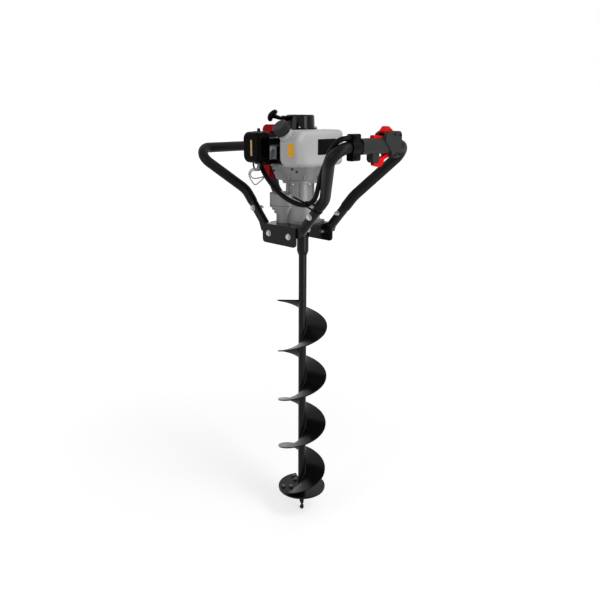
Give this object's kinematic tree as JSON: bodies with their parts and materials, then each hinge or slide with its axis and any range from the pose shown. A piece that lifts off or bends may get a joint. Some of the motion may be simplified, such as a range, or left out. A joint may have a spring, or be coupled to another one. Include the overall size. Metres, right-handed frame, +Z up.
{
  "type": "earth auger",
  "caption": "Petrol earth auger: engine on a bracket with two tube handlebars and a throttle grip drives a helical bit with pilot and cutter disc through a gearbox.",
  "frame": {"origin": "the pilot tip, on the bit's axis", "axes": "+Z up along the bit's axis, +X towards the throttle grip, +Y along the grips away from the air filter"},
  "size_m": [0.5836, 0.2895, 1.2588],
  "materials": {
    "black_paint": "satin black powder coat",
    "zinc_steel": "bright zinc plate",
    "bright_steel": "machined",
    "blade_steel": "dark hardened steel",
    "grip_rubber": "fine matte grain",
    "grey_plastic": "moulded, fine texture",
    "black_plastic": "moulded, satin",
    "gloss_black": "glossy moulding",
    "red_plastic": "satin moulding",
    "shroud_red": "satin moulding",
    "pale_plastic": "natural nylon",
    "rope_cord": "braided",
    "wire_sleeve": "satin sleeve",
    "seal_rubber": "matte",
    "cast_aluminium": "die cast, silver paint",
    "filter_foam": "open foam",
    "muffler_steel": "heat resistant paint",
    "tank_grey": "blow moulded, satin",
    "cap_grey": "moulded, ribbed"
  },
  "bodies": {
    "frame": {"bracket": "black_paint", "gearbox_bolts": "zinc_steel", "frame_bolts": "zinc_steel", "leg_sockets": "black_paint", "left_handlebar": "black_paint", "right_handlebar": "black_paint", "grip_sleeves": "grip_rubber", "throttle_housing_inner": "grey_plastic", "throttle_housing_outer": "grey_plastic", "throttle_clamp": "black_plastic", "throttle_conduit": "black_plastic", "conduit_ties": "black_plastic", "stop_wires": "wire_sleeve", "gear_case_lower": "cast_aluminium", "gear_case_upper": "cast_aluminium", "output_seal": "seal_rubber", "ball_bearings": "bright_steel", "clutch_housing": "cast_aluminium", "crankcase": "cast_aluminium", "engine_cylinder": "cast_aluminium", "spark_plug": "zinc_steel", "plug_cap": "seal_rubber", "cooling_shroud": "shroud_red", "fan_housing": "black_plastic", "starter_housing": "gloss_black", "insulator": "black_plastic", "carburettor": "cast_aluminium", "filter_base": "black_plastic", "filter_element": "filter_foam", "filter_cover": "gloss_black", "muffler": "muffler_steel", "fuel_tank": "tank_grey"},
    "bit": {"output_shaft": "bright_steel", "output_gear": "bright_steel", "bit_sleeve": "black_paint", "coupling_pin": "zinc_steel", "auger_tube": "black_paint", "flight_turn_1": "black_paint", "flight_turn_2": "black_paint", "flight_turn_3": "black_paint", "flight_turn_4": "black_paint", "cutter_disc": "black_paint", "cutter_blades": "blade_steel", "blade_bolts": "blade_steel", "pilot_screw": "black_paint"},
    "layshaft": {"layshaft": "bright_steel", "layshaft_wheel": "bright_steel"},
    "clutch_drum": {"clutch_drum": "bright_steel"},
    "crank": {"crankshaft": "bright_steel", "flywheel": "cast_aluminium", "clutch_shoes": "bright_steel"},
    "pull_handle": {"starter_handle": "black_plastic", "starter_rope": "rope_cord"},
    "reel": {"starter_reel": "pale_plastic"},
    "trigger": {"throttle_trigger": "red_plastic"},
    "throttle_arm": {"throttle_arm": "zinc_steel"},
    "lockout": {"lockout_lever": "red_plastic"},
    "stop_switch": {"stop_switch": "red_plastic"},
    "fuel_cap": {"fuel_cap": "cap_grey"},
    "choke": {"choke_lever": "black_plastic"}
  },
  "joints": [
    {"name": "bit_spin", "type": "hinge", "parent": "frame", "child": "bit", "pos_m": [0, 0, 0.5], "axis": [0, 0, 1], "continuous": true},
    {"name": "layshaft_spin", "type": "hinge", "parent": "frame", "child": "layshaft", "pos_m": [-0.03486, -0.03926, 1], "axis": [0, 0, 1], "continuous": true},
    {"name": "drum_spin", "type": "hinge", "parent": "frame", "child": "clutch_drum", "pos_m": [0, -0.012, 1.05], "axis": [0, 0, 1], "continuous": true},
    {"name": "crank_spin", "type": "hinge", "parent": "frame", "child": "crank", "pos_m": [0, -0.012, 1.15], "axis": [0, 0, 1], "continuous": true},
    {"name": "starter_pull", "type": "slide", "parent": "frame", "child": "pull_handle", "axis": [0, -1, 0], "range_m": [0, 0.65], "stiffness_N_per_m": 12, "springref_m": -0.3},
    {"name": "reel_spin", "type": "hinge", "parent": "frame", "child": "reel", "pos_m": [0, -0.012, 1.238], "axis": [0, 0, 1], "range_deg": [0, 1700]},
    {"name": "trigger_squeeze", "type": "hinge", "parent": "frame", "child": "trigger", "pos_m": [0.276, 0.042, 1.158], "axis": [-1, 0, 0], "range_deg": [0, 18], "stiffness_Nm_per_rad": 0.5, "springref_deg": -11.46},
    {"name": "throttle_arm_turn", "type": "hinge", "parent": "frame", "child": "throttle_arm", "pos_m": [-0.041, -0.08, 1.152], "axis": [1, 0, 0], "range_deg": [0, 66]},
    {"name": "lockout_press", "type": "hinge", "parent": "frame", "child": "lockout", "pos_m": [0.276, 0.01, 1.1935], "axis": [1, 0, 0], "range_deg": [0, 6], "stiffness_Nm_per_rad": 0.4, "springref_deg": -11.46},
    {"name": "stop_rock", "type": "hinge", "parent": "frame", "child": "stop_switch", "pos_m": [0.276, 0.018, 1.21], "axis": [1, 0, 0], "range_deg": [0, 14]},
    {"name": "fuel_cap_turn", "type": "hinge", "parent": "frame", "child": "fuel_cap", "pos_m": [0.068, -0.13039, 1.19989], "axis": [0, -0.7071, 0.7071], "range_deg": [0, 360]},
    {"name": "choke_turn", "type": "hinge", "parent": "frame", "child": "choke", "pos_m": [-0.056, -0.115, 1.196], "axis": [0, 1, 0], "range_deg": [0, 60]}
  ],
  "couplings": [
    {"joint": "layshaft_spin", "follows": "bit_spin", "ratio": -4.8333},
    {"joint": "drum_spin", "follows": "bit_spin", "ratio": 26.852},
    {"joint": "reel_spin", "follows": "starter_pull", "rad_per_m": 45.455},
    {"joint": "throttle_arm_turn", "follows": "trigger_squeeze", "ratio": 3.6}
  ]
}
